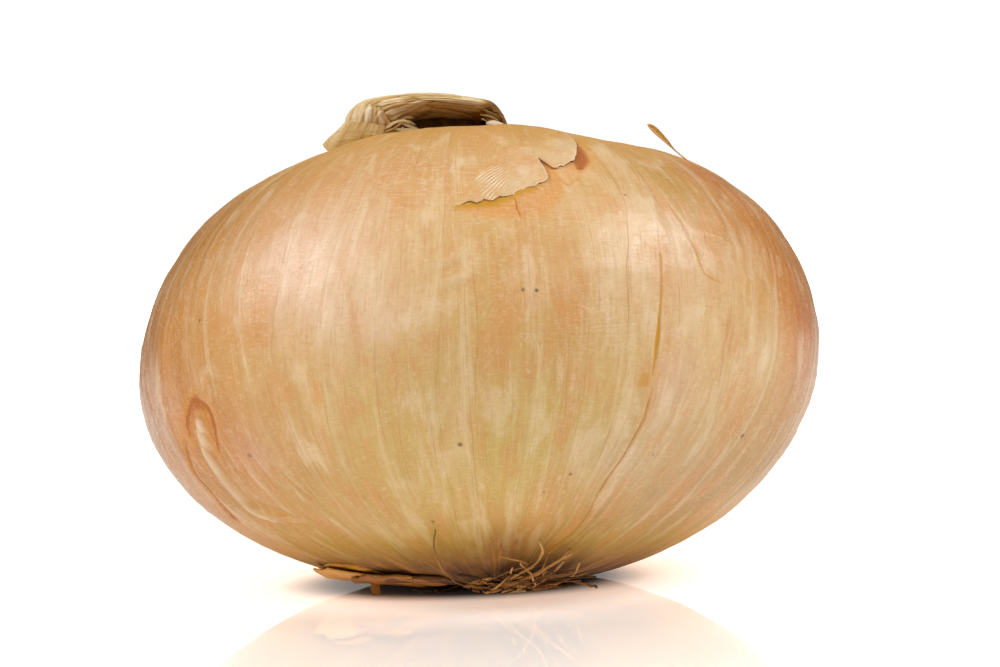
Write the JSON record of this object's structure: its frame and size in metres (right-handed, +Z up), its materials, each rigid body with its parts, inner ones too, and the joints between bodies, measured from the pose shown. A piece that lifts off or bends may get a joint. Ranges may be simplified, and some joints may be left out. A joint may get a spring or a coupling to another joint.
{
  "type": "onion",
  "caption": "Whole flat sweet onion in its dry golden skin, with a folded dried neck, a tuft of roots and loose scraps of skin, resting on a small flat spot.",
  "frame": {"origin": "middle of the small flat spot that the onion rests on, on the surface that it stands on", "axes": "+Z up, +X along the onion's greatest width, -Y the front, where the roots show; the neck end leans back towards +Y"},
  "size_m": [0.0914, 0.0884, 0.0665],
  "materials": {
    "onion_skin": "thin dry onion skin, satin gloss, golden tan with paler veins",
    "dried_neck": "dried leaf sheath, matte straw colour with brown streaks",
    "dried_root": "dried fibrous root, matte brown",
    "papery_skin": "loose papery skin, matte, creased",
    "brown_skin": "old orange-brown onion skin, translucent satin"
  },
  "bodies": {
    "root": {"bulb": "onion_skin", "neck": "dried_neck", "root_tuft": "dried_root", "skin_flake": "papery_skin", "skin_curl": "brown_skin", "base_skin_flap": "brown_skin"}
  },
  "joints": []
}
